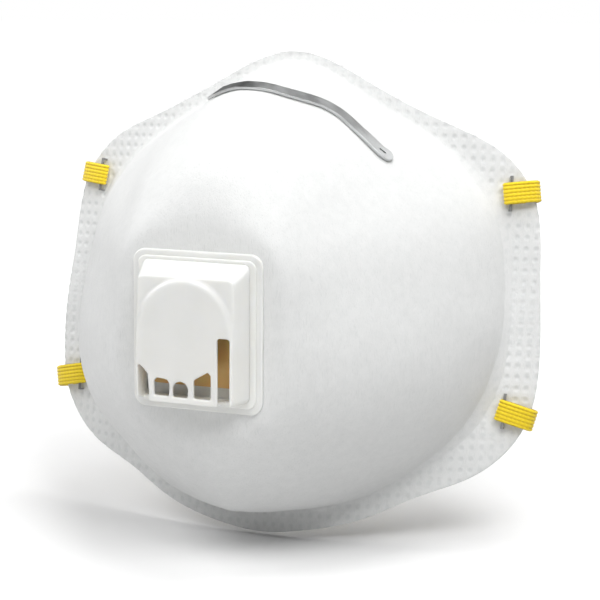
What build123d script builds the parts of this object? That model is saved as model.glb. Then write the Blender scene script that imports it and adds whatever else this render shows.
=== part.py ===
from build123d import *
import math
import os

# Disposable dust mask with an exhalation valve, as worn: +Z up, the valve looks along -Y, the wearer's
# left is +X. The origin is the centre of the face opening. The rim leans back from the upright valve.

rim_lean = 11.2            # degrees the face opening leans back at the top
# right half of the rim, top to bottom: x, height, flange width there, fullness of the cup wall below it
rim_shape = [
    (0.0, 64.1, 3.5, 1.95), (21.7, 56.1, 4.5, 1.70), (40.6, 47.4, 5.5, 1.25), (56.3, 40.1, 9.5, 1.20),
    (64.6, 29.8, 10.0, 1.20), (67.6, 11.4, 8.5, 1.25), (69.1, -10.6, 9.5, 1.36), (66.0, -32.0, 12.5, 1.40),
    (54.5, -44.7, 10.5, 1.36), (40.7, -51.3, 6.5, 1.30), (27.5, -58.2, 5.5, 1.42), (12.9, -62.5, 6.2, 1.70),
    (0.0, -64.1, 6.8, 1.90),
]
layer_names = ["outer_cover_web", "filter_media", "stiffening_shell", "inner_cover_web"]
cup_depths = [0.0, 0.6, 1.3, 2.3, 2.8]        # how far each layer's face lies inside the cup's outside
flange_depths = [0.0, 0.4, 0.7, 1.2, 1.5]     # the same in the welded flange

valve_y = -51.9            # plane of the flat that carries the valve
valve_z = -1.8
flat_half_width = 21.0
flat_half_height = 24.0
base_width = 33.6
base_height = 38.7
base_corner = 3.2
base_thick = 0.8
step_thick = 0.5
port_width = 20.0          # clear opening of the valve seat
port_height = 21.0
port_z = -1.0              # heights on the valve are from its centre
ridge_wall = 1.0
ridge_high = 0.8
collar_wall = 1.1
hinge_z = 12.5
flap_width = 22.9
flap_length = 26.8
flap_thick = 0.45
cover_depth = 8.4
cover_wall = 0.9
cover_base = (27.8, 33.6, 0.3)       # width, height and height of the centre of the cover's foot
cover_face = (24.8, 30.2, -1.0)      # the same of its front face
field_radius = 12.2
field_raise = 0.6
field_z = 1.6

clip_width = 4.8
clip_thick = 0.8
clip_bend = 4.0            # the clip bows forward over the bridge of the nose, seen from above
clip_line = [(-35.5, -3.5), (-21.0, -5.0), (-9.0, -15.0), (0.0, -18.6), (8.0, -16.8), (17.5, -9.4),
             (35.5, -8.0)]
foam_half_length = 30.0
foam_width = 12.0
foam_y = -12.0
foam_thick = 4.0

band_width = 6.0
band_thick = 1.1
staple_crown = 9.2
wire_wide = 0.7
wire_thick = 0.45
staple_seats = [(58.8, 29.6, 7.3), (61.2, -27.0, -7.1)]   # x, height in the rim, tilt in degrees
band_names = ["upper_headband", "lower_headband"]
edge_reach = [8.0, 8.4]    # from the staple to just past the rim, where the band turns behind the flange
# loose part of each band, lying inside the cup: half of its route at the staple's height, x and depth
loose_routes = [
    [(45.6, 11.6), (37.5, 3.4), (30.8, -6.4), (17.6, -13.6), (0.0, -16.6)],
    [(50.6, 14.2), (45.2, 6.2), (41.0, -4.6), (33.0, -15.6), (20.0, -23.8), (0.0, -27.0)],
]

lean = math.radians(rim_lean)


def sweep_back(x):
    """How far the flange lies behind the rim plane at x."""
    return 14.34 * (x / 60) ** 2 - 3.24 * (x / 60) ** 4


def from_rim(x, y, z):
    """A point of the leaning rim frame in the part's frame."""
    return (x, y * math.cos(lean) + z * math.sin(lean), z * math.cos(lean) - y * math.sin(lean))


def mirrored(points):
    """The right half and its mirror image as one closed run of points."""
    return points + [(-x, z) for x, z in reversed(points[1:-1])]


def inset_rim(depth):
    """Where the cup meets the flange: the rim stepped in by the flange width and the layer's depth."""
    found = []
    for i, (x, z, width, fullness) in enumerate(rim_shape):
        before = rim_shape[i - 1] if i > 0 else (-rim_shape[1][0], rim_shape[1][1])
        after = rim_shape[i + 1] if i < len(rim_shape) - 1 else (-rim_shape[-2][0], rim_shape[-2][1])
        tangent = Vector(after[0] - before[0], after[1] - before[1], 0).normalized()
        inward = Vector(tangent.Y, -tangent.X, 0)
        step = width + depth
        found.append((x + inward.X * step, z + inward.Y * step, fullness))
    return found


def cup_section(y, depth, flange_depth):
    """Half outline of the cup's outside at y, with every wall stepped in by depth."""
    found = []
    for x, z, fullness in inset_rim(depth):
        foot = from_rim(x, sweep_back(x) + flange_depth, z)
        angle = math.atan2(foot[2] - valve_z, foot[0])
        reach = (abs(math.cos(angle) / (flat_half_width - depth / 2)) ** 4
                 + abs(math.sin(angle) / (flat_half_height - depth / 2)) ** 4) ** -0.25
        share = (foot[1] - y) / (foot[1] - valve_y - depth)
        share = min(max(share, 0), 1)
        spread = (1 - share ** fullness) ** (1 / fullness)
        top = (reach * math.cos(angle), valve_z + reach * math.sin(angle))
        found.append((top[0] + (foot[0] - top[0]) * spread, top[1] + (foot[2] - top[1]) * spread))
    found[0] = (0, found[0][1])
    found[-1] = (0, found[-1][1])
    return found


def make_dome(depth, flange_depth):
    """Everything inside the cup's outside, stepped in by depth, back to a plane behind the rim."""
    front = valve_y + depth
    steps = [0, 0.8, 2.6, 6.0, 11.0, 18.0, 26.0, 35.0, 45.0, 56.0, 66.0, 76.0]
    with BuildPart() as dome:
        for step in steps:
            y = front + step
            with BuildSketch(Plane(origin=(0, y, 0), x_dir=(1, 0, 0), z_dir=(0, -1, 0))):
                with BuildLine():
                    Spline(*mirrored(cup_section(y, depth, flange_depth)), periodic=True)
                make_face()
        loft()
    return dome.part


def make_backing(flange_depth):
    """A thick block whose front follows the swept-back flange."""
    front = [(x, sweep_back(x) + flange_depth) for x in (-84, -56, -28, 0, 28, 56, 84)]
    with BuildPart() as backing:
        with BuildSketch(Plane(origin=(0, 0, 0), x_dir=(1, 0, 0), z_dir=from_rim(0, 0, 1))):
            with BuildLine():
                Spline(*front)
                Polyline(front[-1], (84, 45), (-84, 45), front[0])
            make_face()
        extrude(amount=80, both=True)
    return backing.part


flange_facing = Plane(origin=(0, 0, 0), x_dir=(1, 0, 0), z_dir=from_rim(0, -1, 0))
with BuildPart() as rim_prism:
    with BuildSketch(flange_facing):
        with BuildLine():
            Spline(*mirrored([(x, z) for x, z, width, fullness in rim_shape]), periodic=True)
        make_face()
    extrude(amount=90, both=True)

port_plane = Plane(origin=(0, valve_y, valve_z), x_dir=(1, 0, 0), z_dir=(0, -1, 0))
hole_width = port_width + 2 * collar_wall + 0.4
hole_height = port_height + 2 * collar_wall + 0.4

domes = [make_dome(cup, flange) for cup, flange in zip(cup_depths, flange_depths)]
backings = [make_backing(flange) for flange in flange_depths]

# The four layers of the shell, from the outside in.
os.makedirs("parts", exist_ok=True)
for i, layer_name in enumerate(layer_names):
    with BuildPart() as layer:
        add(domes[i])
        add(backings[i])
        add(domes[i + 1], mode=Mode.SUBTRACT)
        add(backings[i + 1], mode=Mode.SUBTRACT)
        add(rim_prism.part, mode=Mode.INTERSECT)
        with BuildSketch(port_plane):
            with Locations((0, port_z)):
                RectangleRounded(hole_width, hole_height, 3.3)
        extrude(amount=10, both=True, mode=Mode.SUBTRACT)
    layer.part.label = layer_name
    export_step(layer.part, "parts/" + layer_name + ".step")
    print(layer_name, "solids", len(layer.part.solids()), "volume", round(layer.part.volume, 1))


def rounded_loft(lower, upper, corner, start, depth):
    """A tapered block between two rounded rectangles standing on the valve's planes."""
    with BuildPart() as block:
        for offset_by, (width, height, middle), radius in ((start, lower, corner), (depth, upper, corner)):
            with BuildSketch(port_plane.offset(offset_by)):
                with Locations((0, middle)):
                    RectangleRounded(width, height, radius)
        loft()
    return block.part


# Valve seat: a stepped base plate, a collar through the shell, the port with its cross arms and the ridge
# that the flap closes on, and two pins that carry the flap.
step_front = base_thick + step_thick
ridge_front = step_front + ridge_high
with BuildPart() as valve_seat:
    with BuildSketch(port_plane):
        RectangleRounded(base_width, base_height, base_corner)
    extrude(amount=base_thick)
    fillet(valve_seat.edges().group_by(Axis.Y)[0], 0.35)
    with BuildSketch(port_plane.offset(base_thick)):
        RectangleRounded(base_width - 3, base_height - 3, base_corner - 1)
    extrude(amount=step_thick)
    fillet(valve_seat.edges().group_by(Axis.Y)[0], 0.3)
    with BuildSketch(port_plane):
        with Locations((0, port_z)):
            RectangleRounded(port_width + 2 * collar_wall, port_height + 2 * collar_wall, 3.2)
    extrude(amount=-(cup_depths[-1] + 0.8))
    with BuildSketch(port_plane.offset(step_front)):
        with Locations((0, port_z)):
            RectangleRounded(port_width + 2 * ridge_wall, port_height + 2 * ridge_wall, 3.1)
    extrude(amount=ridge_high)
    with BuildSketch(port_plane.offset(5)):
        with Locations((0, port_z)):
            RectangleRounded(port_width, port_height, 2.1)
    extrude(amount=-12, mode=Mode.SUBTRACT)
    with BuildSketch(port_plane.offset(-1.5)):
        with Locations((0, port_z)):
            Rectangle(port_width + 1, 1.4)
            Rectangle(1.4, port_height + 1)
    extrude(amount=1.5 + step_front)
    with BuildSketch(port_plane.offset(step_front)):
        with Locations((-7, hinge_z), (7, hinge_z)):
            Circle(1.5)
    extrude(amount=ridge_high - 0.45)
    with BuildSketch(port_plane.offset(step_front)):
        with Locations((-7, hinge_z), (7, hinge_z)):
            Circle(0.8)
    extrude(amount=ridge_high + 1.6)

# Valve flap: a thin rubber leaf that hangs from the two pins and lies on the ridge.
flap_back = ridge_front + 0.05
flap_top = hinge_z + 1.5
with BuildPart() as valve_flap:
    with BuildSketch(port_plane.offset(flap_back)):
        with Locations((0, flap_top - flap_length / 2)):
            RectangleRounded(flap_width, flap_length, 2.0)
        with Locations((-7, hinge_z), (7, hinge_z)):
            Circle(1.15, mode=Mode.SUBTRACT)
    extrude(amount=flap_thick)

# Valve cover: a tapered hood with a raised round field and five slots along its lower edge.
cover_foot = step_front
inner_base = tuple(cover_base[i] - (2 * cover_wall if i < 2 else 0) for i in range(3))
inner_face = tuple(cover_face[i] - (2 * cover_wall if i < 2 else 0) for i in range(3))
slots = [                   # left, right, foot, top at the left, top at the right
    (-12.0, -9.3, -18.5, -7.4, -9.2),
    (-7.8, -4.0, -14.6, -10.6, -10.3),
    (-2.9, 1.0, -14.6, -11.3, -11.3),
    (2.5, 6.8, -14.6, -9.8, -8.3),
    (8.4, 11.5, -18.5, 0.2, 0.3),
]
with BuildPart() as valve_cover:
    add(rounded_loft(cover_base, cover_face, 1.6, cover_foot, cover_depth))
    fillet(valve_cover.edges().group_by(Axis.Y)[0], 0.9)
    with BuildSketch(port_plane.offset(cover_depth - 1.2)):
        with Locations((0, field_z)):
            Circle(field_radius - 0.3)
    extrude(amount=field_raise + 1.2)
    fillet(valve_cover.edges().group_by(Axis.Y)[0], 0.45)
    add(rounded_loft(inner_base, inner_face, 0.9, cover_foot, cover_depth - cover_wall), mode=Mode.SUBTRACT)
    with BuildSketch(port_plane.offset(cover_depth - cover_wall - 0.1)):
        with Locations((0, field_z)):
            Circle(field_radius - 1.4)
    extrude(amount=field_raise + 0.1, mode=Mode.SUBTRACT)
    for left, right, foot, top_left, top_right in slots:
        with BuildSketch(port_plane.offset(cover_depth - 3.2)) as slot:
            with BuildLine():
                Polyline((left, foot), (left, top_left), (right, top_right), (right, foot), close=True)
            make_face()
            fillet(slot.vertices().group_by(Axis.Z)[-1], 0.5)
        extrude(amount=6, mode=Mode.SUBTRACT)
    with BuildSketch(port_plane.offset(cover_depth - cover_wall)):
        with Locations((-7, hinge_z), (7, hinge_z)):
            Circle(1.3)
    extrude(amount=-(cover_depth - cover_wall - flap_back - flap_thick - 0.6))
    with BuildSketch(port_plane.offset(flap_back)):
        with Locations((-7, hinge_z), (7, hinge_z)):
            Circle(0.85)
    extrude(amount=2.6, mode=Mode.SUBTRACT)

# Nose clip: a soft metal strip over the bridge of the nose, along the top of the cup.
with BuildPart() as nose_clip:
    add(make_dome(-clip_thick - 0.05, 0))
    add(make_dome(-0.05, 0), mode=Mode.SUBTRACT)
    with BuildSketch(Plane.XY.offset(20)):
        with BuildLine():
            FilletPolyline(*clip_line, radius=clip_bend)
        trace(line_width=clip_width)
    extrude(amount=60, mode=Mode.INTERSECT)

# Nose foam: a soft strip glued inside the bridge of the nose.
with BuildPart() as nose_foam:
    add(make_dome(cup_depths[-1] + 0.05, flange_depths[-1]))
    add(make_dome(cup_depths[-1] + foam_thick, flange_depths[-1]), mode=Mode.SUBTRACT)
    with BuildSketch(Plane.XY.offset(15)):
        with Locations((0, foam_y)):
            RectangleRounded(2 * foam_half_length, foam_width, 2.5)
    extrude(amount=60, mode=Mode.INTERSECT)


def flange_spot(x, height, tilt, depth=0.0):
    """A plane on the flange: its Z leaves the front square to the flange, its Y runs up the rim."""
    yaw = math.atan(0.478 * (x / 60) - 0.216 * (x / 60) ** 3)
    lean_plane = Plane(origin=from_rim(x, sweep_back(x), height), x_dir=(math.cos(yaw),) + from_rim(
        0, math.sin(yaw), 0)[1:], z_dir=from_rim(math.sin(yaw), -math.cos(yaw), 0))
    return lean_plane.rotated((0, 0, tilt)).offset(-depth)


# Staples: flat wire, the crown over the band's end and both tips folded in behind the flange.
crown_front = band_thick + 0.05 + wire_thick
flange_back = -flange_depths[-1]
with BuildPart() as staples:
    for side in (1, -1):
        for x, height, tilt in staple_seats:
            spot = flange_spot(side * x, height, side * tilt)
            wire_plane = Plane(origin=spot.origin, x_dir=spot.y_dir, z_dir=spot.x_dir)
            half = staple_crown / 2
            with BuildSketch(wire_plane):
                with BuildLine():
                    Polyline((-half, crown_front), (half, crown_front), (half, flange_back - 0.5),
                             (half - 3.2, flange_back - 0.5), (half - 3.2, flange_back - 0.05),
                             (half - wire_thick, flange_back - 0.05),
                             (half - wire_thick, crown_front - wire_thick),
                             (wire_thick - half, crown_front - wire_thick),
                             (wire_thick - half, flange_back - 0.05),
                             (3.2 - half, flange_back - 0.05), (3.2 - half, flange_back - 0.5),
                             (-half, flange_back - 0.5), close=True)
                make_face()
            extrude(amount=wire_wide / 2, both=True)


def band_route(x, reach, loose):
    """Centre line of a band in the rim's own X and Y, from its stapled end to the middle of the loop."""
    yaw = math.atan(0.478 * (x / 60) - 0.216 * (x / 60) ** 3)
    lower_run = 0.05 + band_thick / 2
    upper_run = crown_front + 0.1 + band_thick / 2
    back_run = flange_back - 0.7 - band_thick / 2
    local = [(3.6, lower_run), (-2.5, lower_run), (-2.5, upper_run), (reach, upper_run), (reach, back_run),
             (-1.6, back_run)]
    near = [(x + s * math.cos(yaw) + out * math.sin(yaw),
             sweep_back(x) + s * math.sin(yaw) - out * math.cos(yaw)) for s, out in local]
    return near + loose


def bend_radii(route):
    """The largest tangent arcs that the runs allow, one for each inner corner."""
    radii = []
    for before, corner, after in zip(route, route[1:], route[2:]):
        first = Vector(corner[0] - before[0], corner[1] - before[1], 0)
        second = Vector(after[0] - corner[0], after[1] - corner[1], 0)
        turn = math.radians(first.get_angle(second))
        radii.append(0.45 * min(first.length, second.length) / math.tan(turn / 2))
    return radii


# Headbands: flat braided elastic, stapled, folded over the staple, round the rim and loose in the cup.
bands = {}
for band_name, (x, height, tilt), reach, loose in zip(band_names, staple_seats, edge_reach, loose_routes):
    half_route = band_route(x, reach, loose)
    route = half_route + [(-across, back) for across, back in reversed(half_route[:-1])]
    radii = bend_radii(route)
    band_plane = Plane(origin=from_rim(0, 0, height), x_dir=(1, 0, 0), z_dir=from_rim(0, 0, 1))
    with BuildPart() as band:
        with BuildSketch(band_plane):
            with BuildLine() as centre_line:
                FilletPolyline(*route, radius=radii)
            trace(line_width=band_thick)
        extrude(amount=band_width / 2, both=True)
    length = sum(edge.length for edge in centre_line.edges())
    bands[band_name] = band
    print(band_name, "length", round(length, 1), "volume against section times length",
          round(band.part.volume / (length * band_thick * band_width), 3),
          "radii", [round(r, 1) for r in radii[:len(radii) // 2 + 1]])

pieces = {
    **bands,
    "valve_seat": valve_seat, "valve_flap": valve_flap, "valve_cover": valve_cover, "nose_clip": nose_clip,
    "nose_foam": nose_foam, "staples": staples,
}
for piece_name, piece in pieces.items():
    piece.part.label = piece_name
    export_step(piece.part, "parts/" + piece_name + ".step")
    print(piece_name, "solids", len(piece.part.solids()), "volume", round(piece.part.volume, 1))
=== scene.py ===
import bpy
import bmesh
import math
import numpy as np
from mathutils import Matrix, Vector, noise
from mathutils.bvhtree import BVHTree


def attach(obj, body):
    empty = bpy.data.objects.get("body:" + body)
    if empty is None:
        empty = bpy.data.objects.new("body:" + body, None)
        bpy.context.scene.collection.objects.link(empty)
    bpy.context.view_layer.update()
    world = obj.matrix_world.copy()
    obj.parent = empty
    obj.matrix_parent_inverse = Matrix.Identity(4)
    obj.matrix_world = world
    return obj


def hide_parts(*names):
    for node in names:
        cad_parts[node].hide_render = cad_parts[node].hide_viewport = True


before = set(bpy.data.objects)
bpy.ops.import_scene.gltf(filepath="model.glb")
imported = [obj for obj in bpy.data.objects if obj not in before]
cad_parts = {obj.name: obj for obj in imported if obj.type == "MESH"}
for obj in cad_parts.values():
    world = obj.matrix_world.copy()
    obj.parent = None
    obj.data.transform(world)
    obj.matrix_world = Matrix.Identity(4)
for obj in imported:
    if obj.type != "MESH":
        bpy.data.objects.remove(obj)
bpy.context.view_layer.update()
mm = 0.001
scene = bpy.context.scene
scene.view_settings.view_transform = "Standard"

# camera, lights and floor
cameraSet = {
    "aim": (5.35, 3.14, -2.67),     # mm
    "azimuth": 20.45, "elevation": 9.83, "roll": 0.44,
    "distance": 470.0, "lens": 105.56,
}
lightSet = {                        # place in metres, size and watts; all aim at the origin
    "top": {"at": (0.11, 0.02, 0.60), "size": 0.42, "watts": 2.2},
    "topRear": {"at": (0.40, 0.25, 0.50), "size": 0.4, "watts": 0.8},
    "leftHigh": {"at": (-0.60, -0.10, 0.40), "size": 0.5, "watts": 2.6},
    "frontTop": {"at": (0.0, -0.60, 0.60), "size": 0.5, "watts": 1.75},
    "frontLow": {"at": (-0.05, -0.65, 0.0), "size": 0.4, "watts": 0.45},
    "rightHigh": {"at": (0.35, -0.35, 0.55), "size": 0.4, "watts": 2.75},
}
floorSet = {"height": -0.0640, "radius": 9.0, "paper": 0.97, "bounce": 0.66, "worldLight": 0.02,
            "whiteFrom": 0.12, "whiteTo": 0.75}   # metres from the object where the paper is lit up to white


def aimAt(thing, place, target, roll=0.0):
    back = (Vector(place) - Vector(target)).normalized()
    turned = (-back).to_track_quat("-Z", "Y") @ Matrix.Rotation(roll, 3, "Z").to_quaternion()
    thing.location = place
    thing.rotation_mode = "QUATERNION"
    thing.rotation_quaternion = turned


def makeCamera():
    az, el = math.radians(cameraSet["azimuth"]), math.radians(cameraSet["elevation"])
    aim = Vector(cameraSet["aim"]) * mm
    back = Vector((math.sin(az) * math.cos(el), -math.cos(az) * math.cos(el), math.sin(el)))
    data = bpy.data.cameras.new("camera")
    data.sensor_width = 36.0
    data.lens = cameraSet["lens"]
    data.clip_start, data.clip_end = 0.01, 20.0
    camera = bpy.data.objects.new("camera", data)
    scene.collection.objects.link(camera)
    aimAt(camera, aim + back * cameraSet["distance"] * mm, aim, math.radians(cameraSet["roll"]))
    scene.camera = camera


def makeLights():
    for name, spec in lightSet.items():
        data = bpy.data.lights.new(name, "AREA")
        data.shape = "DISK"
        data.size = spec["size"]
        data.energy = spec["watts"]
        lamp = bpy.data.objects.new(name, data)
        scene.collection.objects.link(lamp)
        aimAt(lamp, spec["at"], (0.0, 0.0, 0.0))
    world = bpy.data.worlds.new("studio")
    world.use_nodes = True
    back = world.node_tree.nodes["Background"]
    back.inputs["Color"].default_value = (1.0, 1.0, 1.0, 1.0)
    seen = world.node_tree.nodes.new("ShaderNodeLightPath").outputs["Is Camera Ray"]
    brightness = mathNode(world.node_tree, "MAXIMUM", seen, floorSet["worldLight"])
    world.node_tree.links.new(brightness, back.inputs["Strength"])
    scene.world = world


def meshObject(name, points, faces, body="mask_body"):
    data = bpy.data.meshes.new(name)
    data.from_pydata([tuple(p) for p in points], [], faces)
    data.update()
    data.polygons.foreach_set("use_smooth", [True] * len(data.polygons))
    made = bpy.data.objects.new(name, data)
    scene.collection.objects.link(made)
    if body:
        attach(made, body)
    return made


# shader helpers
def addNode(tree, kind, place, **values):
    made = tree.nodes.new(kind)
    made.location = place
    for key, value in values.items():
        if key in made.inputs.keys():
            made.inputs[key].default_value = value
        else:
            setattr(made, key, value)
    return made


def startMaterial(name, **shaderValues):
    material = bpy.data.materials.new(name)
    material.use_nodes = True
    tree = material.node_tree
    shader = tree.nodes["Principled BSDF"]
    for key, value in shaderValues.items():
        shader.inputs[key].default_value = value
    return material, tree, shader


def objectPlace(tree, scale, turn=(0.0, 0.0, 0.0), place=(-1400, 0)):
    coords = addNode(tree, "ShaderNodeTexCoord", (place[0] - 400, place[1]))
    mapping = addNode(tree, "ShaderNodeMapping", (place[0] - 200, place[1]))
    mapping.inputs["Scale"].default_value = scale
    mapping.inputs["Rotation"].default_value = turn
    tree.links.new(coords.outputs["Object"], mapping.inputs["Vector"])
    return mapping.outputs["Vector"]


def mathNode(tree, operation, first, second=None, third=None, clamp=False, place=(-900, 0)):
    made = tree.nodes.new("ShaderNodeMath")
    made.operation = operation
    made.use_clamp = clamp
    made.location = place
    for socket, value in zip(made.inputs, (first, second, third)):
        if value is None:
            continue
        if isinstance(value, (int, float)):
            socket.default_value = value
        else:
            tree.links.new(value, socket)
    return made.outputs[0]


def mixColour(tree, factor, low, high, place=(-400, 0)):
    made = tree.nodes.new("ShaderNodeMix")
    made.data_type = "RGBA"
    made.location = place
    for socket, value in ((made.inputs[0], factor), (made.inputs[6], low), (made.inputs[7], high)):
        if isinstance(value, (int, float)):
            socket.default_value = value
        elif isinstance(value, tuple):
            socket.default_value = (*value, 1.0)
        else:
            tree.links.new(value, socket)
    return made.outputs[2]


def noiseField(tree, vector, scale, detail=4.0, rough=0.55, place=(-1100, 0)):
    made = addNode(tree, "ShaderNodeTexNoise", place, Scale=scale, Detail=detail, Roughness=rough)
    tree.links.new(vector, made.inputs["Vector"])
    return made.outputs["Fac"]


def addBump(tree, shader, height, strength, distance):
    bump = addNode(tree, "ShaderNodeBump", (-250, -400), Strength=strength, Distance=distance)
    tree.links.new(height, bump.inputs["Height"])
    tree.links.new(bump.outputs["Normal"], shader.inputs["Normal"])


fibreSet = {
    "fine": 1500.0, "stretch": 0.16, "turns": (0.3, 1.35, 2.4),   # threads per metre and their directions
    "mottle": 420.0, "depth": 0.00012, "roughness": 0.92,
}


# three crossing sets of stretched threads
def fibreField(tree):
    found = None
    for i, turn in enumerate(fibreSet["turns"]):
        level = 300 - 300 * i
        vector = objectPlace(tree, (1.0, 1.0, fibreSet["stretch"]), (0.0, turn, 0.25 * i), (-1400, level))
        threads = noiseField(tree, vector, fibreSet["fine"] * (1.0 + 0.3 * i), 2.0, 0.5, (-1100, level))
        ridge = mathNode(tree, "ABSOLUTE", mathNode(tree, "SUBTRACT", threads, 0.5))
        ridge = mathNode(tree, "SUBTRACT", 1.0, mathNode(tree, "MULTIPLY", ridge, 9.0, clamp=True))
        found = ridge if found is None else mathNode(tree, "MAXIMUM", found, ridge)
    return found


def nonwovenMaterial(name, light, shade, bump, dots=False, sheen=0.25):
    material, tree, shader = startMaterial(name, **{"Roughness": fibreSet["roughness"], "Sheen Weight": sheen,
                                                    "Sheen Roughness": 0.5, "Specular IOR Level": 0.25})
    fibres = fibreField(tree)
    mottle = noiseField(tree, objectPlace(tree, (1.0, 1.0, 1.0)), fibreSet["mottle"], 5.0, 0.6, (-1100, -700))
    mottle = mathNode(tree, "MULTIPLY_ADD", mottle, 2.0, -0.5, clamp=True)
    tone = mathNode(tree, "MULTIPLY_ADD", fibres, 0.5, mathNode(tree, "MULTIPLY", mottle, 0.5), clamp=True)
    colour = mixColour(tree, tone, shade, light)
    height = mathNode(tree, "MULTIPLY_ADD", mottle, 0.35, mathNode(tree, "MULTIPLY", fibres, 0.65))
    if dots:
        dot = embossField(tree)
        flange = addNode(tree, "ShaderNodeAttribute", (-1300, -1200), attribute_name="flange").outputs["Fac"]
        fused = mathNode(tree, "MULTIPLY", dot, flange, clamp=True)
        # painted shade: the dots are coloured greyer, partly for the fused welds and partly as the shade in
        # their pressed dimples
        colour = mixColour(tree, mathNode(tree, "MULTIPLY", fused, embossSet["darken"]), colour,
                           embossSet["weldAndDimpleShadeColour"])
        height = mathNode(tree, "MULTIPLY", height, mathNode(tree, "SUBTRACT", 1.0, fused))
        rough = mathNode(tree, "MULTIPLY_ADD", fused, -0.35, fibreSet["roughness"])
        tree.links.new(rough, shader.inputs["Roughness"])
    tree.links.new(colour, shader.inputs["Base Color"])
    addBump(tree, shader, height, bump, fibreSet["depth"])
    return material


# the dots' grey colour is partly the fused welds and partly painted shade in the pressed dimples
embossSet = {"pitch": (2.5, 2.8), "radius": 0.6, "soft": 0.45, "depth": 0.17, "darken": 0.42,
             "weldAndDimpleShadeColour": (0.60, 0.62, 0.615)}   # mm; rows of round welds pressed into the flange


# round spots on a grid in the rim's own directions
def embossField(tree):
    lean = math.radians(rimSet["lean"])
    vector = objectPlace(tree, (1000.0, 1000.0, 1000.0), (-lean, 0.0, 0.0), (-1400, -1000))
    split = addNode(tree, "ShaderNodeSeparateXYZ", (-1150, -1000))
    tree.links.new(vector, split.inputs[0])
    reach = None
    for axis, pitch in zip((0, 2), embossSet["pitch"]):
        turns = mathNode(tree, "DIVIDE", split.outputs[axis], pitch)
        part = mathNode(tree, "SUBTRACT", mathNode(tree, "FRACT", turns), 0.5)
        part = mathNode(tree, "MULTIPLY", part, pitch)
        square = mathNode(tree, "POWER", mathNode(tree, "ABSOLUTE", part), 2.0)
        reach = square if reach is None else mathNode(tree, "SQRT", mathNode(tree, "ADD", reach, square))
    rise = mathNode(tree, "SUBTRACT", embossSet["radius"] + embossSet["soft"] / 2, reach)
    return mathNode(tree, "DIVIDE", rise, embossSet["soft"], clamp=True)


# the shell: rim, flange and cup, from the same few sizes as the part
rimSet = {
    "lean": 11.2, "valveY": -51.9, "valveZ": -1.8, "flatHalfWidth": 21.0, "flatHalfHeight": 24.0,
    "holeWidth": 22.6, "holeHeight": 23.6, "holeZ": -1.0, "holeCorner": 3.3,
    "sweep": (14.34, 3.24), "sweepAt": 60.0,    # how far the rim lies back at that x, square and fourth power
    # right half, top to bottom: x, height, flange width, fullness of the cup wall
    "shape": [
        (0.0, 64.1, 3.5, 1.95), (21.7, 56.1, 4.5, 1.70), (40.6, 47.4, 5.5, 1.25),
        (56.3, 40.1, 9.5, 1.20), (64.6, 29.8, 10.0, 1.20), (67.6, 11.4, 8.5, 1.25),
        (69.1, -10.6, 9.5, 1.36), (66.0, -32.0, 12.5, 1.40), (54.5, -44.7, 10.5, 1.36),
        (40.7, -51.3, 6.5, 1.30), (27.5, -58.2, 5.5, 1.42), (12.9, -62.5, 6.2, 1.70),
        (0.0, -64.1, 6.8, 1.90),
    ],
}
shellSet = {
    "columns": 1150, "flangeRows": 30, "wallRows": 40, "flatRows": 5,     # of the finished surface
    "hiddenRows": 8, "middleRows": 34, "innerRows": 22,                  # of the faces nobody sees
    "flangeSteps": 30, "wallSteps": 160, "flatSteps": 25, "samples": 300, "rounds": 60,     # as it is formed
    "footMargin": 1.2, "flangeFade": 0.8, "flatFade": 1.5, "shoulderReach": 9.0,          # mm
    "valleyTop": 2.1, "valleyFoot": 1.1, "shoulder": 1.7,      # mm, how softly the corners are moulded
    "lumps": 0.22, "lumpSize": 17.0, "flangeWave": 0.35, "flangeWaveSize": 15.0, "crease": 0.22,
    "layerGap": 0.012,
}
layerSet = {                 # depth of each layer's two faces: in the cup, in the flange
    "outer_cover_web": ((0.0, 0.0), (0.6, 0.4)),
    "filter_media": ((0.6, 0.4), (1.3, 0.7)),
    "stiffening_shell": ((1.3, 0.7), (2.3, 1.2)),
    "inner_cover_web": ((2.3, 1.2), (2.8, 1.5)),
}


def sweepBack(x):
    (square, fourth), unit = rimSet["sweep"], x / rimSet["sweepAt"]
    return square * unit ** 2 - fourth * unit ** 4


def sweepAngle(x):
    (square, fourth), unit = rimSet["sweep"], x / rimSet["sweepAt"]
    return math.atan((2 * square * unit - 4 * fourth * unit ** 3) / rimSet["sweepAt"])


def fromRim(points):
    lean = math.radians(rimSet["lean"])
    x, y, z = points[..., 0], points[..., 1], points[..., 2]
    return np.stack([x, y * math.cos(lean) + z * math.sin(lean), z * math.cos(lean) - y * math.sin(lean)], -1)


def toRim(points):
    lean = math.radians(rimSet["lean"])
    x, y, z = points[..., 0], points[..., 1], points[..., 2]
    return np.stack([x, y * math.cos(lean) - z * math.sin(lean), z * math.cos(lean) + y * math.sin(lean)], -1)


# smooth closed curve through the points, read at span number plus share of the span
def closedSpline(points, where):
    count = len(points)
    chord = np.linalg.norm(np.roll(points[:, :2], -1, 0) - points[:, :2], axis=1)
    left, right = np.zeros((count, count)), np.zeros(points.shape)
    for i in range(count):
        after, before = (i + 1) % count, i - 1
        left[i, before] += chord[before]
        left[i, i] += 2 * (chord[before] + chord[i])
        left[i, after] += chord[i]
        right[i] = 6 * ((points[after] - points[i]) / chord[i] - (points[i] - points[before]) / chord[before])
    bend = np.linalg.solve(left, right)
    span = np.floor(where).astype(int) % count
    after = (span + 1) % count
    h = chord[span][:, None]
    t = (where % 1.0)[:, None] * h
    rest = h - t
    return (bend[span] * rest ** 3 + bend[after] * t ** 3) / (6 * h) \
        + (points[span] / h - bend[span] * h / 6) * rest + (points[after] / h - bend[after] * h / 6) * t


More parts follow.
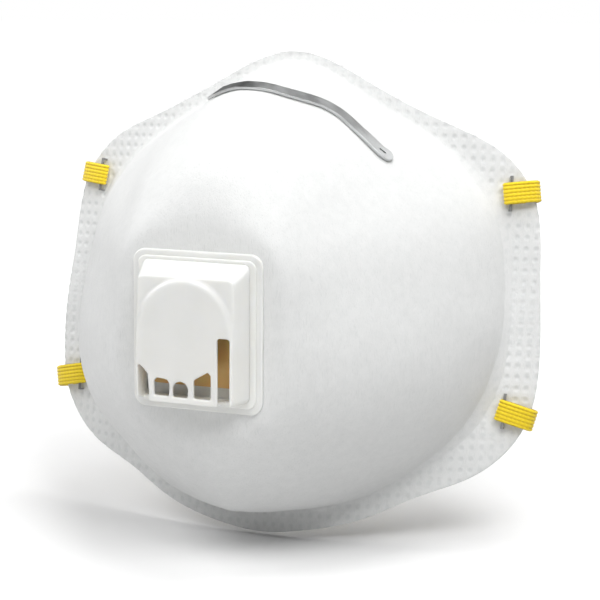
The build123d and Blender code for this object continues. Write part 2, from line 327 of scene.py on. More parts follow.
# outline of the rim and of the cup's foot at evenly spread columns
def rimTables():
    half = np.array(rimSet["shape"])
    mirror = half[-2:0:-1] * (-1, 1, 1, 1)
    outline = np.concatenate([half, mirror])
    before, after = np.roll(outline, 1, 0), np.roll(outline, -1, 0)
    tangent = (after - before)[:, :2]
    tangent /= np.linalg.norm(tangent, axis=1)[:, None]
    inward = np.stack([tangent[:, 1], -tangent[:, 0]], 1)
    foot = outline.copy()
    foot[:, :2] += inward * outline[:, 2:3]
    fine = np.linspace(0, len(outline), 6001)
    edge = closedSpline(outline, fine[:-1])
    edge = np.concatenate([edge, edge[:1]])
    length = np.concatenate([[0], np.cumsum(np.linalg.norm(np.diff(edge[:, :2], axis=0), axis=1))])
    where = np.interp(np.linspace(0, length[-1], shellSet["columns"], endpoint=False), length, fine)
    return closedSpline(outline, where), closedSpline(foot, where)


# from the valve's centre to the edge of the rounded hole, along each angle, by halving
def holeReach(angle):
    low, high = np.zeros_like(angle), np.full_like(angle, 30.0)
    halfW, halfH, corner = rimSet["holeWidth"] / 2, rimSet["holeHeight"] / 2, rimSet["holeCorner"]
    for step in range(40):
        middle = (low + high) / 2
        x = np.abs(middle * np.cos(angle)) - (halfW - corner)
        z = np.abs(middle * np.sin(angle) - rimSet["holeZ"]) - (halfH - corner)
        gap = np.hypot(np.maximum(x, 0), np.maximum(z, 0)) + np.minimum(np.maximum(x, z), 0) - corner
        inside = gap < 0
        low, high = np.where(inside, middle, low), np.where(inside, high, middle)
    return low


def smoothNoise(points, size, seed):
    shift = Vector((seed * 7.3, seed * 3.1, seed * 5.7))
    return np.array([noise.noise(Vector(p) / size + shift) for p in points])


# columns of points from the rim's edge over flange, wall and flat to the hole
def columnPaths():
    edge, foot = rimTables()
    valveZ, valveY = rimSet["valveZ"], rimSet["valveY"]
    t = np.linspace(0, 1, shellSet["flangeSteps"])[None, :, None]
    flat2 = edge[:, None, :2] * (1 - t) + foot[:, None, :2] * t
    flange = fromRim(np.stack([flat2[..., 0], sweepBack(flat2[..., 0]), flat2[..., 1]], -1))
    footPoint = flange[:, -1]
    angle = np.arctan2(footPoint[:, 2] - valveZ, footPoint[:, 0])
    reach = (np.abs(np.cos(angle) / rimSet["flatHalfWidth"]) ** 4
             + np.abs(np.sin(angle) / rimSet["flatHalfHeight"]) ** 4) ** -0.25
    top = np.stack([reach * np.cos(angle), valveZ + reach * np.sin(angle)], 1)
    turn = np.linspace(0, math.pi / 2, shellSet["wallSteps"])[1:]
    power = 2 / foot[:, 3:4]
    share, spread = np.sin(turn)[None] ** power, np.maximum(np.cos(turn), 0)[None] ** power
    wallY = footPoint[:, 1:2] - share * (footPoint[:, 1:2] - valveY)
    wallXZ = top[:, None] + (footPoint[:, None, [0, 2]] - top[:, None]) * spread[..., None]
    wall = np.stack([wallXZ[..., 0], wallY, wallXZ[..., 1]], -1)
    inwards = np.linspace(0, 1, shellSet["flatSteps"])[None, 1:]
    along = reach[:, None] + (holeReach(angle) - reach)[:, None] * inwards
    flat = np.stack([along * np.cos(angle)[:, None], np.full_like(along, valveY),
                     valveZ + along * np.sin(angle)[:, None]], -1)
    return np.concatenate([flange, wall, flat], 1)


# the columns again in even samples, softened at valley and shoulder like felt over a mould
def formedColumns(path, length, shoulderLength):
    columns, samples, rounds = len(path), shellSet["samples"], shellSet["rounds"]
    footHeight = path[:, shellSet["flangeSteps"] - 1, 2]
    total = length[:, -1]
    even = np.empty((columns, samples, 3))
    for c in range(columns):
        at = np.linspace(0, total[c], samples)
        for k in range(3):
            even[c, :, k] = np.interp(at, length[c], path[c, :, k])
    gap = total / (samples - 1)
    lowHalf = np.clip(0.5 - footHeight / 60, 0, 1)
    valley = shellSet["valleyTop"] * (1 - lowHalf) + shellSet["valleyFoot"] * lowHalf
    at = np.linspace(0, 1, samples)[None] * total[:, None]
    nearShoulder = np.exp(-((at - shoulderLength[:, None]) / shellSet["shoulderReach"]) ** 2)
    soft = valley[:, None] * (1 - nearShoulder) + shellSet["shoulder"] * nearShoulder
    rate = np.minimum(soft ** 2 / (0.5 * rounds * gap[:, None] ** 2), 0.95)[..., None]
    for i in range(rounds):
        middle = even[:, 1:-1]
        even[:, 1:-1] = middle + 0.25 * rate[:, 1:-1] * (even[:, :-2] - 2 * middle + even[:, 2:])
    return even


# the cup's outside, with rows set where wanted, and how far each point is flange or flat
def shellSurface():
    path = columnPaths()
    columns = len(path)
    step = np.linalg.norm(np.diff(path, axis=1), axis=2)
    length = np.concatenate([np.zeros((columns, 1)), np.cumsum(step, 1)], 1)
    total = length[:, -1]
    footAt = shellSet["flangeSteps"] - 1
    flangeLength, shoulderLength = length[:, footAt], length[:, footAt + shellSet["wallSteps"] - 1]
    even = formedColumns(path, length, shoulderLength)
    flangeRow = np.linspace(0, 1, shellSet["flangeRows"] + 1)
    wallRow = np.linspace(0, 1, shellSet["wallRows"] + 1)[1:]
    wallRow = wallRow - 0.35 * np.sin(2 * math.pi * wallRow) / (2 * math.pi)
    flatRow = np.linspace(0, 1, shellSet["flatRows"] + 1)[1:]
    wallStart = (flangeLength + shellSet["footMargin"])[:, None]
    shoulderAt = shoulderLength[:, None]
    rowAt = np.concatenate([
        wallStart * flangeRow[None],
        wallStart + (shoulderAt - wallStart) * wallRow[None],
        shoulderAt + (total[:, None] - shoulderAt) * flatRow[None]], 1)
    surface = np.empty((columns, rowAt.shape[1], 3))
    for c in range(columns):
        source = np.linspace(0, total[c], shellSet["samples"])
        for k in range(3):
            surface[c, :, k] = np.interp(rowAt[c], source, even[c, :, k])
    inFlange = 1 / (1 + np.exp((rowAt - flangeLength[:, None]) / shellSet["flangeFade"]))
    onFlat = 1 / (1 + np.exp(-(rowAt - shoulderAt + 6) / shellSet["flatFade"]))
    return surface, inFlange, onFlat


def surfaceNormals(surface):
    around = np.roll(surface, -1, 0) - np.roll(surface, 1, 0)
    along = np.empty_like(surface)
    along[:, 1:-1] = surface[:, 2:] - surface[:, :-2]
    along[:, 0], along[:, -1] = surface[:, 1] - surface[:, 0], surface[:, -1] - surface[:, -2]
    normal = np.cross(around, along)
    normal /= np.linalg.norm(normal, axis=2)[..., None]
    return normal if normal[0, 3, 1] < 0 else -normal


# soft lumps on the cup, waves along the flange and a faint crease from the valve to the chin
def addUnevenness(surface, inFlange, onFlat):
    size = shellSet["lumpSize"]
    spots = surface.reshape(-1, 3)
    lumps = smoothNoise(spots, size, 1) + 0.5 * smoothNoise(spots, size / 2.3, 2)
    wave = smoothNoise(spots, shellSet["flangeWaveSize"], 3)
    lumps = lumps.reshape(inFlange.shape) * shellSet["lumps"] * (1 - onFlat)
    wave = wave.reshape(inFlange.shape) * shellSet["flangeWave"] * inFlange
    x, z = surface[..., 0], surface[..., 2]
    below = np.clip((-24.0 - z) / 6.0, 0, 1) * (1 - inFlange) * (1 - onFlat)
    lumps = lumps + shellSet["crease"] * np.exp(-((x + 1.0 + 0.8 * np.sin(z / 5.0)) / 1.3) ** 2) * below
    return surface + surfaceNormals(surface) * (lumps + wave)[..., None]


# depth of the round welds pressed into the flange
def embossDents(surface, inFlange):
    pitch = np.array(embossSet["pitch"])
    offGrid = ((toRim(surface)[..., [0, 2]] / pitch) % 1 - 0.5) * pitch
    away = np.linalg.norm(offGrid, axis=2)
    dent = np.clip((embossSet["radius"] + 0.25 - away) / 0.5, 0, 1)
    return dent * dent * (3 - 2 * dent) * inFlange * embossSet["depth"]


def spreadRows(rows, count):
    return np.unique(np.round(np.linspace(0, rows - 1, count)).astype(int))


# which rows a layer's front and rear face keep, and every how many columns: the seen faces are the finest
def layerRows(name, rows):
    if name == "inner_cover_web":
        everySecond = np.unique(np.append(np.arange(0, rows, 2), rows - 1))
        return spreadRows(rows, shellSet["innerRows"]), everySecond, 2
    if name == "outer_cover_web":
        return np.arange(rows), spreadRows(rows, shellSet["hiddenRows"]), 1
    middle = spreadRows(rows, shellSet["middleRows"])
    return middle, middle, 2


def makeShell():
    surface, inFlange, onFlat = shellSurface()
    surface = addUnevenness(surface, inFlange, onFlat)
    normal = surfaceNormals(surface)
    dent = embossDents(surface, inFlange)
    made = {}
    for name, faceDepths in layerSet.items():
        depths = []
        for (cup, flange), nudge in zip(faceDepths, (shellSet["layerGap"], -shellSet["layerGap"])):
            depths.append(cup * (1 - inFlange) + flange * inFlange + nudge)
        if name == "outer_cover_web":
            depths[0] = depths[0] - shellSet["layerGap"] + dent
        outer, inner = [surface - normal * depth[..., None] for depth in depths]
        frontRows, backRows, step = layerRows(name, surface.shape[1])
        backRows = backRows[::-1]
        ring = np.concatenate([outer[::step][:, frontRows], inner[::step][:, backRows]], 1)
        mask = np.concatenate([inFlange[::step][:, frontRows], inFlange[::step][:, backRows]], 1)
        count, around = ring.shape[:2]
        faces = []
        for c in range(count):
            here, there = c * around, (c + 1) % count * around
            for r in range(around):
                after = (r + 1) % around
                faces.append((here + r, there + r, there + after, here + after))
        points = ring.reshape(-1, 3) * mm
        piece = meshObject(name.replace("_", "-") + "-formed", points, faces)
        attribute = piece.data.attributes.new("flange", "FLOAT", "POINT")
        attribute.data.foreach_set("value", mask.reshape(-1).astype(np.float32))
        fixNormals(piece)
        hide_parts(name)
        made[name] = piece
    return made, surface * mm


def fixNormals(piece):
    work = bmesh.new()
    work.from_mesh(piece.data)
    bmesh.ops.recalc_face_normals(work, faces=work.faces)
    work.to_mesh(piece.data)
    work.free()


def assign(piece, material):
    if len(piece.data.materials) == 0:
        piece.data.materials.append(material)
    for i in range(len(piece.material_slots)):
        piece.material_slots[i].material = material


makeCamera()
makeLights()
print("camera and lights made")

# headbands: routes in the rim's own X and Y, as the part has them
bandSet = {
    "width": 0.0057, "thick": 0.0011, "ribs": 6, "ribHeight": 0.00022, "step": 0.0004,     # m
    "tail": 3.6, "fold": 1.5, "backTurn": -1.6,              # mm along the flange, outwards from the staple
    "offFlange": 0.05, "offStaple": 0.1, "behind": 0.7,      # mm of air between the runs
    "levelFrom": 26.0, "levelTo": 40.0,                      # mm from the end, where the tilt fades out
}
bands = {
    "upper_headband": {"x": 58.8, "height": 29.6, "reach": (7.0, 7.3), "tilt": (7.5, 9.0),
                       "loose": [(45.6, 11.6), (37.5, 3.4), (30.8, -6.4), (17.6, -13.6), (0.0, -16.6)]},
    "lower_headband": {"x": 61.2, "height": -27.0, "reach": (8.6, 7.7), "tilt": (-10.0, -14.0),
                       "loose": [(50.6, 14.2), (45.2, 6.2), (41.0, -4.6), (33.0, -15.6), (20.0, -23.8),
                                 (0.0, -27.0)]},
}
staple = {"crownFront": 1.6, "flangeBack": -1.5}    # mm in front of the rim and behind it


# one stapled end, folded back over its staple and round the rim, rising with its tilt
def bandEnd(spec, reach, tilt, side):
    x = spec["x"]
    yaw = sweepAngle(x)
    half = bandSet["thick"] / mm / 2
    lowerRun = bandSet["offFlange"] + half
    upperRun = staple["crownFront"] + bandSet["offStaple"] + half
    backRun = staple["flangeBack"] - bandSet["behind"] - half
    fold = bandSet["fold"]
    local = [(bandSet["tail"], lowerRun), (-fold, lowerRun), (-fold, upperRun), (reach, upperRun),
             (reach, backRun), (bandSet["backTurn"], backRun)]
    end = [(side * (x + s * math.cos(yaw) + out * math.sin(yaw)),
            sweepBack(x) + s * math.sin(yaw) - out * math.cos(yaw),
            spec["height"] + s * math.tan(math.radians(tilt))) for s, out in local]
    return end + [(side * across, back, spec["height"]) for across, back in spec["loose"]]


def bandRoute(spec):
    left, right = [bandEnd(spec, reach, tilt, side)
                   for reach, tilt, side in zip(spec["reach"], spec["tilt"], (-1, 1))]
    return [Vector(fromRim(np.array(place))) * mm for place in left + right[-2::-1]]


# the points of a smooth curve that the route steers
def splinePoints(name, route):
    curve = bpy.data.curves.new(name, "CURVE")
    curve.dimensions = "3D"
    curve.resolution_u = 24
    spline = curve.splines.new("NURBS")
    spline.points.add(len(route) - 1)
    for point, place in zip(spline.points, route):
        point.co = (*place, 1.0)
    spline.order_u = 3
    spline.use_endpoint_u = True
    holder = bpy.data.objects.new(name + "-line", curve)
    scene.collection.objects.link(holder)
    mesh = bpy.data.meshes.new_from_object(holder)
    found = [Vector(v.co) for v in mesh.vertices]
    bpy.data.objects.remove(holder)
    bpy.data.meshes.remove(mesh)
    return found


# closed outline of the braid: across and through, with lengthwise ribs on both faces
def bandSection():
    half, thick, ribs = bandSet["width"] / 2, bandSet["thick"] / 2, bandSet["ribs"]
    outline = []
    steps = ribs * 6
    for side in (1, -1):
        for i in range(steps + 1):
            share = i / steps
            across = half * (1 - 2 * share) * side
            fall = 1 - max(0, (abs(across) / half - 0.86) / 0.14) ** 2 * 0.75
            rib = abs(math.sin(math.pi * ribs * share)) ** 0.6
            outline.append((across, side * (thick * fall - bandSet["ribHeight"] * (1 - rib))))
    return outline


def makeBand(name, spec):
    route = bandRoute(spec)
    line = splinePoints(name, route)
    steps = [0.0]
    for a, b in zip(line, line[1:]):
        steps.append(steps[-1] + (b - a).length)
    total = steps[-1]
    count = int(total / bandSet["step"])
    at = np.linspace(0, total, count)
    even = np.stack([np.interp(at, steps, [p[k] for p in line]) for k in range(3)], 1)
    upright = Vector(fromRim(np.array([0.0, 0.0, 1.0])))
    section = bandSection()
    points, faces, along = [], [], []
    for i, place in enumerate(even):
        ahead = Vector(even[min(i + 1, count - 1)] - even[max(i - 1, 0)]).normalized()
        # the folded ends sit a little askew under the staples, and the loose run is level
        fromEnd = min(i, count - 1 - i) * total / count / mm
        side, askew = (-1, spec["tilt"][0]) if i * 2 < count else (1, spec["tilt"][1])
        fade = (bandSet["levelTo"] - fromEnd) / (bandSet["levelTo"] - bandSet["levelFrom"])
        tilt = math.radians(askew) * max(0.0, min(1.0, fade))
        across = upright * math.cos(tilt) - Vector((side, 0.0, 0.0)) * math.sin(tilt)
        out = across.cross(ahead).normalized()
        for wide, deep in section:
            points.append(Vector(place) + across * wide + out * deep)
            along.append((wide, i * total / count))
    size = len(section)
    for i in range(count - 1):
        for j in range(size):
            k = (j + 1) % size
            faces.append((i * size + j, i * size + k, (i + 1) * size + k, (i + 1) * size + j))
    faces.append(tuple(range(size)))
    faces.append(tuple((count - 1) * size + j for j in reversed(range(size))))
    band = meshObject(name.replace("_", "-") + "-braid", points, faces)
    layer = band.data.attributes.new("braid", "FLOAT_VECTOR", "POINT")
    layer.data.foreach_set("vector", np.array([(w, l, 0.0) for w, l in along], dtype=np.float32).reshape(-1))
    fixNormals(band)
    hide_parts(name)
    print(name, "length", round(total * 1000, 1), "mm")
    return band


def elasticMaterial():
    material, tree, shader = startMaterial("band-elastic", **{"Roughness": 0.72, "Sheen Weight": 0.35,
                                                              "Specular IOR Level": 0.35})
    place = addNode(tree, "ShaderNodeAttribute", (-1700, 0), attribute_name="braid").outputs["Vector"]
    split = addNode(tree, "ShaderNodeSeparateXYZ", (-1500, 0))
    tree.links.new(place, split.inputs[0])
    wide = mathNode(tree, "MULTIPLY", split.outputs[0], 2 * math.pi / 0.001)
    lengthwise = mathNode(tree, "MULTIPLY", split.outputs[1], 2 * math.pi / 0.0011)
    groove = mathNode(tree, "ABSOLUTE", mathNode(tree, "SINE", mathNode(tree, "MULTIPLY", wide, 0.5)))
    # threads that cross each rib slantwise
    slant = mathNode(tree, "ADD", lengthwise, mathNode(tree, "MULTIPLY", groove, 2.4))
    slant = mathNode(tree, "MULTIPLY_ADD", mathNode(tree, "SINE", slant), 0.5, 0.5)
    fuzz = noiseField(tree, objectPlace(tree, (1.0, 1.0, 1.0)), 2600.0, 3.0)
    # painted shade: the colour darkens in the grooves between the ribs; the slant threads and fuzz are the
    # braid's own tone
    tone = mathNode(tree, "MULTIPLY_ADD", slant, 0.14, mathNode(tree, "MULTIPLY", groove, 0.85))
    tone = mathNode(tree, "MULTIPLY_ADD", fuzz, 0.25, tone, clamp=True)
    colour = mixColour(tree, tone, (0.58, 0.36, 0.006), (0.92, 0.70, 0.016))
    tree.links.new(colour, shader.inputs["Base Color"])
    height = mathNode(tree, "MULTIPLY_ADD", slant, 0.6, mathNode(tree, "MULTIPLY", fuzz, 0.5))
    addBump(tree, shader, height, 0.6, 0.00012)
    return material


elastic = elasticMaterial()
for bandName, bandSpec in bands.items():
    assign(makeBand(bandName, bandSpec), elastic)
print("headbands made")

shell, outside = makeShell()
webLooks = {                 # material, light and shaded colour, bump, pressed dots
    "outer_cover_web": ("outer-nonwoven", (0.785, 0.79, 0.785), (0.69, 0.70, 0.695), 0.5, True),
    "filter_media": ("filter-fibre", (0.86, 0.86, 0.84), (0.74, 0.74, 0.72), 0.8, False),
    "stiffening_shell": ("shell-nonwoven", (0.84, 0.84, 0.82), (0.70, 0.70, 0.68), 0.9, False),
    "inner_cover_web": ("inner-nonwoven", (0.90, 0.90, 0.89), (0.80, 0.80, 0.79), 0.4, True),
}
for webName, look in webLooks.items():
    assign(shell[webName], nonwovenMaterial(*look))
print("shell made")

# nose clip: soft metal strip bent over the bridge
clipSet = {
    # its middle line seen from above, mm
    "line": [(-18.5, 0.5), (-15.5, -4.5), (-10.5, -13.0), (-5.2, -17.2), (0.0, -18.8), (3.4, -18.3),
             (7.0, -16.9), (11.2, -13.6), (14.7, -10.3), (17.2, -8.8), (20.8, -8.2), (24.0, -9.0),
             (31.0, -9.0), (33.6, -7.4)],
    "width": 3.7, "thick": 0.7, "lift": 0.25, "edge": 0.18, "along": 240, "across": 14,
    "planRounds": 20, "dropRounds": 12, "roundness": 0.25,     # how far the bends are softened
    "slotFromEnd": 3.2, "slotLength": 2.0, "slotWidth": 0.7,
}


def shellTree(surface):
    thin = surface[::6, ::2]
    count, rows = thin.shape[:2]
    points = [Vector(p) for p in thin.reshape(-1, 3)]
    faces = [(c * rows + r, (c + 1) % count * rows + r, (c + 1) % count * rows + r + 1, c * rows + r + 1)
             for c in range(count) for r in range(rows - 1)]
    return BVHTree.FromPolygons(points, faces)


# where a plumb line at x, y meets the top of the cup, and the outward normal there
def dropOn(tree, x, y):
    spot, normal, face, far = tree.ray_cast(Vector((x, y, 0.12)), Vector((0, 0, -1)))
    return spot, (normal if normal.z > 0 else -normal)


def soften(line, rounds):
    for i in range(rounds):
        line[1:-1] += clipSet["roundness"] * (line[:-2] - 2 * line[1:-1] + line[2:])


def stepLengths(line):
    return np.concatenate([[0], np.cumsum(np.linalg.norm(np.diff(line, axis=0), axis=1))])


# the strip's middle line laid on the cup, with the normals under it
def clipLine(tree):
    control = np.array(clipSet["line"])
    chord = stepLengths(control)
    fine = np.linspace(0, chord[-1], clipSet["along"])
    line = np.stack([np.interp(fine, chord, control[:, k]) for k in (0, 1)], 1)
    soften(line, clipSet["planRounds"])
    drops = [dropOn(tree, x, y) for x, y in line * mm]
    places, normals = [np.array([drop[k] for drop in drops]) for k in (0, 1)]
    soften(places, clipSet["dropRounds"])
    soften(normals, clipSet["dropRounds"])
    return places, normals / np.linalg.norm(normals, axis=1)[:, None]


def makeClip(tree):
    places, normals = clipLine(tree)
    length = stepLengths(places)
    total = length[-1]
    across = clipSet["across"]
    halfWidth = clipSet["width"] * mm / 2
    points, faces = [], []
    for i in range(len(places)):
        ahead = places[min(i + 1, len(places) - 1)] - places[max(i - 1, 0)]
        sideways = np.cross(normals[i], ahead)
        sideways /= np.linalg.norm(sideways)
        fromEnd = min(length[i], total - length[i])
        room = halfWidth
        if fromEnd < halfWidth:
            room = math.sqrt(max(halfWidth ** 2 - (halfWidth - fromEnd) ** 2, (0.12 * halfWidth) ** 2))
        for j in range(across + 1):
            share = 2 * j / across - 1
            points.append(places[i] + sideways * room * share + normals[i] * clipSet["lift"] * mm)
    for i in range(len(places) - 1):
        middle = (length[i] + length[i + 1]) / 2
        fromSlot = abs(min(middle, total - middle) - clipSet["slotFromEnd"] * mm)
        slotHere = fromSlot < clipSet["slotLength"] * mm / 2
        for j in range(across):
            share = abs((j + 0.5) / across * 2 - 1) * halfWidth
            if slotHere and share < clipSet["slotWidth"] * mm / 2:
                continue
            a = i * (across + 1) + j
            faces.append((a, a + 1, a + across + 2, a + across + 1))
    clip = meshObject("nose-clip-strip", points, faces)
    fixNormals(clip)
    thicken = clip.modifiers.new("thick", "SOLIDIFY")
    thicken.thickness = clipSet["thick"] * mm
    thicken.offset = 1.0
    bevel = clip.modifiers.new("edge", "BEVEL")
    bevel.width = clipSet["edge"] * mm
    bevel.segments = 2
    bevel.limit_method = "ANGLE"
    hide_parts("nose_clip")
    return clip


def clipMaterial():
    material, tree, shader = startMaterial("clip-aluminium", **{"Metallic": 1.0, "Roughness": 0.36})
    vector = objectPlace(tree, (0.2, 1.0, 1.0))
    rolled = noiseField(tree, vector, 4200.0, 3.0, 0.6)
    plain = objectPlace(tree, (1.0, 1.0, 1.0), (0.0, 0.0, 0.0), (-1400, -400))
    blotch = noiseField(tree, plain, 260.0, 4.0, 0.6, (-1100, -400))
    tone = mathNode(tree, "MULTIPLY_ADD", rolled, 0.5, mathNode(tree, "MULTIPLY", blotch, 0.5), clamp=True)
    tree.links.new(mixColour(tree, tone, (0.44, 0.45, 0.45), (0.70, 0.71, 0.71)), shader.inputs["Base Color"])
    tree.links.new(mathNode(tree, "MULTIPLY_ADD", blotch, 0.35, 0.22), shader.inputs["Roughness"])
    addBump(tree, shader, rolled, 0.25, 0.00003)
    return material


cupTree = shellTree(outside)
noseClip = makeClip(cupTree)
assign(noseClip, clipMaterial())
print("nose clip made")

# nose foam: soft strip glued inside the bridge
foamSet = {
    "halfLength": 30.0, "from": -18.0, "to": -6.0, "depth": 2.9, "thick": 3.6, "along": 120, "across": 30,
    "endCrown": 2.6, "sideCrown": 2.2,      # mm in from the edges, over which it rises
}


def makeFoam(tree):
    along, across = foamSet["along"], foamSet["across"]
    ends, width = foamSet["halfLength"], foamSet["to"] - foamSet["from"]
    ring = []
    for side in (0, 1):
        for i in range(along + 1):
            x = ends * (2 * i / along - 1)
            for j in range(across + 1):
                y = foamSet["from"] + width * j / across
                spot, normal = dropOn(tree, x * mm, y * mm)
                fromSide = min(j, across - j) / across * width
                inset = min((ends - abs(x)) / foamSet["endCrown"], fromSide / foamSet["sideCrown"])
                crown = math.sqrt(max(0.0, 1 - (1 - min(inset, 1)) ** 2))
                deep = foamSet["depth"] + (foamSet["thick"] * (0.12 + 0.88 * crown) if side else 0.0)
                ring.append(spot - normal * deep * mm)
    size = (along + 1) * (across + 1)
    faces = []
    for i in range(along):
        for j in range(across):
            a = i * (across + 1) + j
            faces.append((a, a + 1, a + across + 2, a + across + 1))
            faces.append((size + a, size + a + across + 1, size + a + across + 2, size + a + 1))
    border = [i * (across + 1) for i in range(along + 1)]
    border += [along * (across + 1) + j for j in range(1, across + 1)]
    border += [i * (across + 1) + across for i in range(along - 1, -1, -1)]
    border += list(range(across - 1, 0, -1))
    for a, b in zip(border, border[1:] + border[:1]):
        faces.append((a, b, size + b, size + a))
    foam = meshObject("nose-foam-pad", ring, faces)
    fixNormals(foam)
    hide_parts("nose_foam")
    return foam


def foamMaterial():
    material, tree, shader = startMaterial("nose-foam", **{"Roughness": 0.95, "Specular IOR Level": 0.2})
    vector = objectPlace(tree, (1.0, 1.0, 1.0))
    cells = addNode(tree, "ShaderNodeTexVoronoi", (-1100, 0), Scale=1700.0)
    tree.links.new(vector, cells.inputs["Vector"])
    pores = mathNode(tree, "MULTIPLY_ADD", cells.outputs["Distance"], 1.6, -0.1, clamp=True)
    blotch = noiseField(tree, vector, 300.0, 3.0, 0.5, (-1100, -300))
    # painted shade: the colour darkens into the pores; the blotches are the foam's own uneven tone
    tone = mathNode(tree, "MULTIPLY_ADD", pores, 0.7, mathNode(tree, "MULTIPLY", blotch, 0.4), clamp=True)
    colour = mixColour(tree, tone, (0.05, 0.052, 0.056), (0.22, 0.225, 0.235))
    tree.links.new(colour, shader.inputs["Base Color"])
    addBump(tree, shader, pores, 0.8, 0.0002)
    return material


assign(makeFoam(cupTree), foamMaterial())
print("nose foam made")


# valve, flap and staples
def plasticMaterial():
    material, tree, shader = startMaterial("valve-plastic", **{
        "Roughness": 0.32, "IOR": 1.5, "Coat Weight": 0.15, "Subsurface Weight": 0.55,
        "Subsurface Scale": 0.0022, "Subsurface Radius": (1.0, 0.95, 0.85)})
    vector = objectPlace(tree, (1.0, 1.0, 1.0))
    cloudy = noiseField(tree, vector, 120.0, 3.0)
    grain = noiseField(tree, vector, 3800.0, 2.0, 0.5, (-1100, -300))
    colour = mixColour(tree, cloudy, (0.83, 0.83, 0.79), (0.90, 0.90, 0.865))
    tree.links.new(colour, shader.inputs["Base Color"])
    tree.links.new(mathNode(tree, "MULTIPLY_ADD", cloudy, 0.2, 0.22), shader.inputs["Roughness"])
    addBump(tree, shader, grain, 0.08, 0.00004)
    return material


def flapMaterial():
    material, tree, shader = startMaterial("flap-rubber", **{
        "Roughness": 0.42, "IOR": 1.45, "Subsurface Weight": 0.35, "Subsurface Scale": 0.001})
    vector = objectPlace(tree, (1.0, 1.0, 1.0))
    cloudy = noiseField(tree, vector, 160.0, 4.0)
    colour = mixColour(tree, cloudy, (0.70, 0.42, 0.13), (0.84, 0.58, 0.24))
    tree.links.new(colour, shader.inputs["Base Color"])
    addBump(tree, shader, cloudy, 0.1, 0.0001)
    return material


def stapleMaterial():
    material, tree, shader = startMaterial("staple-steel", **{"Metallic": 1.0, "Roughness": 0.4})
    vector = objectPlace(tree, (1.0, 1.0, 1.0))
    blotch = noiseField(tree, vector, 1400.0, 4.0, 0.6)
    colour = mixColour(tree, blotch, (0.22, 0.22, 0.22), (0.45, 0.45, 0.44))
    tree.links.new(colour, shader.inputs["Base Color"])
    tree.links.new(mathNode(tree, "MULTIPLY_ADD", blotch, 0.4, 0.25), shader.inputs["Roughness"])
    addBump(tree, shader, blotch, 0.3, 0.00004)
    return material


hoodSet = {                 # mm from the valve's centre
    "foot": (27.8, 33.6, 0.3), "face": (24.8, 30.2, -1.0),     # width, height, how far up its middle lies
    "corner": 1.6, "start": 1.3, "depth": 8.4, "wall": 0.9, "cutFrom": 4.9, "cutTo": 12.0,
    "fieldRadius": 12.0, "fieldZ": 1.6, "raise": 0.3, "recess": 0.85, "recessSoft": 1.5,
    "columns": 360, "wallRows": 10, "faceRows": 30, "voxel": 0.24, "smoothing": 5,
    # openings along the lower edge: outline points
    "slots": [
        [(-12.0, -18.5), (-12.1, -7.2), (-11.2, -7.6), (-9.5, -9.4), (-9.1, -14.4), (-9.6, -18.5)],
        [(-7.7, -14.5), (-7.9, -11.0), (-7.0, -10.2), (-4.4, -10.5), (-3.8, -11.6), (-3.9, -14.5)],
        [(-2.9, -14.6), (-3.0, -12.2), (-2.2, -11.1), (-0.9, -10.7), (0.4, -11.2), (1.0, -12.4),
         (0.9, -14.6)],
        [(2.5, -14.6), (2.4, -10.2), (6.0, -8.0), (6.8, -8.7), (6.8, -14.6)],
        [(8.5, -18.5), (8.4, -0.2), (8.8, 0.3), (11.2, 0.3), (11.6, -0.1), (11.5, -18.5)],
    ],
}


# even points of a rounded rectangle, from its right side round
def ringAt(width, height, middle, corner, count):
    found = []
    for k in range(4):
        cx = (width / 2 - corner) * (1 if k in (0, 3) else -1)
        cz = middle + (height / 2 - corner) * (1 if k in (0, 1) else -1)
        for i in range(count // 4):
            turn = math.pi / 2 * (k + i / (count // 4 - 1))
            found.append((cx + corner * math.cos(turn), cz + corner * math.sin(turn)))
    loop = np.array(found + found[:1])
    length = stepLengths(loop)
    at = np.linspace(0, length[-1], count, endpoint=False)
    return np.stack([np.interp(at, length, loop[:, k]) for k in (0, 1)], 1)


# the round field stands proud and the two upper corners fall away from it
def frontDepth(x, z):
    h = hoodSet
    away = math.hypot(x, z - h["fieldZ"]) - h["fieldRadius"]
    share = max(0.0, min(1.0, away / h["recessSoft"] + 0.5))
    high = max(0.0, min(1.0, (z + 1.0) / 5.0))
    return h["depth"] + h["raise"] - h["recess"] * share * share * (3 - 2 * share) * high


def onValve(x, z, out):
    return (x * mm, (rimSet["valveY"] - out) * mm, (rimSet["valveZ"] + z) * mm)


def hoodBody(name, shrink, start):
    h = hoodSet
    foot, face = [ringAt(width - 2 * shrink, height - 2 * shrink, middle, h["corner"] - shrink * 0.7,
                         h["columns"]) for width, height, middle in (h["foot"], h["face"])]
    points, faces = [], []
    for r in range(h["wallRows"] + 1):
        share = r / h["wallRows"]
        for (fx, fz), (tx, tz) in zip(foot, face):
            x, z = fx + (tx - fx) * share, fz + (tz - fz) * share
            top = frontDepth(tx, tz) - shrink
            points.append(onValve(x, z, start + (top - start) * share))
    for r in range(1, h["faceRows"]):
        share = 1 - r / h["faceRows"]
        for tx, tz in face:
            x, z = tx * share, h["face"][2] + (tz - h["face"][2]) * share
            points.append(onValve(x, z, frontDepth(x, z) - shrink))
    count = h["columns"]
    rows = len(points) // count
    for r in range(rows - 1):
        for i in range(count):
            k = (i + 1) % count
            faces.append((r * count + i, r * count + k, (r + 1) * count + k, (r + 1) * count + i))
    points.append(onValve(0, h["face"][2], frontDepth(0, h["face"][2]) - shrink))
    last = len(points) - 1
    faces += [((rows - 1) * count + i, (rows - 1) * count + (i + 1) % count, last) for i in range(count)]
    faces.append(tuple(reversed(range(count))))
    body = meshObject(name, points, faces, body=None)
    fixNormals(body)
    return body


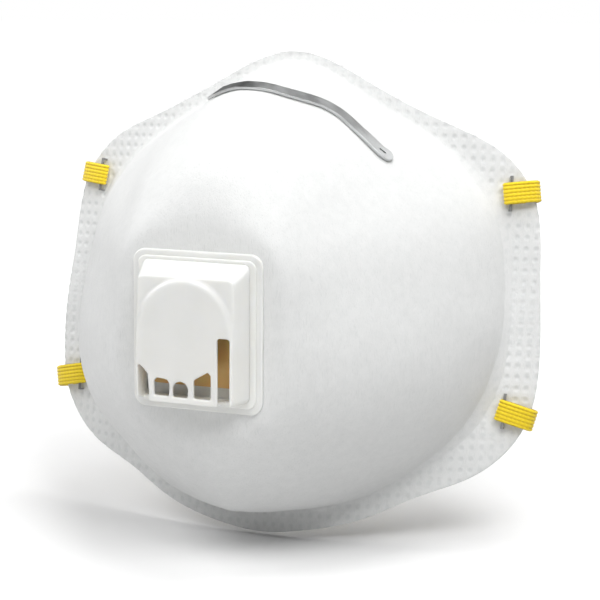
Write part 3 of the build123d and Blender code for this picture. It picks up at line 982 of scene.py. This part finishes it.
def slotCutter(name, outline):
    points = [onValve(x, z, out) for out in (hoodSet["cutFrom"], hoodSet["cutTo"]) for x, z in outline]
    n = len(outline)
    faces = [tuple(range(n)), tuple(reversed(range(n, 2 * n)))]
    faces += [(i, i + n, (i + 1) % n + n, (i + 1) % n) for i in range(n)]
    cutter = meshObject(name, points, faces, body=None)
    fixNormals(cutter)
    return cutter


def applyAll(piece):
    depsgraph = bpy.context.evaluated_depsgraph_get()
    made = bpy.data.meshes.new_from_object(piece.evaluated_get(depsgraph))
    piece.modifiers.clear()
    piece.data = made
    made.polygons.foreach_set("use_smooth", [True] * len(made.polygons))


def makeHood():
    hood = hoodBody("valve-cover-hood", 0.0, hoodSet["start"])
    cutters = [hoodBody("inside", hoodSet["wall"], hoodSet["start"] - 0.4)]
    cutters += [slotCutter("slot" + str(i), outline) for i, outline in enumerate(hoodSet["slots"])]
    for cutter in cutters:
        cut = hood.modifiers.new("cut", "BOOLEAN")
        cut.operation = "DIFFERENCE"
        cut.solver = "EXACT"
        cut.object = cutter
    even = hood.modifiers.new("even", "REMESH")
    even.mode = "VOXEL"
    even.voxel_size = hoodSet["voxel"] * mm
    soft = hood.modifiers.new("soft", "SMOOTH")
    soft.factor = 0.5
    soft.iterations = hoodSet["smoothing"]
    applyAll(hood)
    for cutter in cutters:
        bpy.data.objects.remove(cutter)
    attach(hood, "mask_body")
    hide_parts("valve_cover")
    print("valve hood", len(hood.data.polygons), "faces")
    return hood


plastic = plasticMaterial()
assign(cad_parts["valve_seat"], plastic)
assign(makeHood(), plastic)
assign(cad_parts["valve_flap"], flapMaterial())
assign(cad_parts["staples"], stapleMaterial())
print("valve and staples finished")


# floor
def makeFloor():
    count, low = 96, floorSet["height"]
    rings = [0.1, 0.3, 1.0, 3.0, floorSet["radius"]]
    turns = [2 * math.pi * i / count for i in range(count)]
    points, faces = [(0.0, 0.0, low)], []
    for radius in rings:
        points += [(radius * math.cos(turn), radius * math.sin(turn), low) for turn in turns]
    for i in range(count):
        faces.append((0, 1 + i, 1 + (i + 1) % count))
        for r in range(len(rings) - 1):
            a, b = 1 + r * count + i, 1 + r * count + (i + 1) % count
            faces.append((a, a + count, b + count, b))
    floor = meshObject("floor", points, faces, body=None)
    material, tree, shader = startMaterial("paper", **{"Roughness": 0.9, "Specular IOR Level": 0.1})
    coords = objectPlace(tree, (1.0, 1.0, 1.0))
    grain = noiseField(tree, coords, 60.0, 4.0)
    paper, bounce = floorSet["paper"], floorSet["bounce"]
    seen = addNode(tree, "ShaderNodeLightPath", (-900, 300)).outputs["Is Camera Ray"]
    sheet = mixColour(tree, grain, (paper - 0.01,) * 3, (paper,) * 3)
    tree.links.new(mixColour(tree, seen, (bounce,) * 3, sheet), shader.inputs["Base Color"])
    # the far paper is lit up to white
    length = tree.nodes.new("ShaderNodeVectorMath")
    length.operation = "LENGTH"
    tree.links.new(coords, length.inputs[0])
    beyond = mathNode(tree, "SUBTRACT", length.outputs["Value"], floorSet["whiteFrom"])
    share = mathNode(tree, "DIVIDE", beyond, floorSet["whiteTo"] - floorSet["whiteFrom"], clamp=True)
    glow = mathNode(tree, "MULTIPLY", share, seen)
    shader.inputs["Emission Color"].default_value = (1.0, 1.0, 1.0, 1.0)
    tree.links.new(glow, shader.inputs["Emission Strength"])
    assign(floor, material)


makeFloor()
print("floor made")
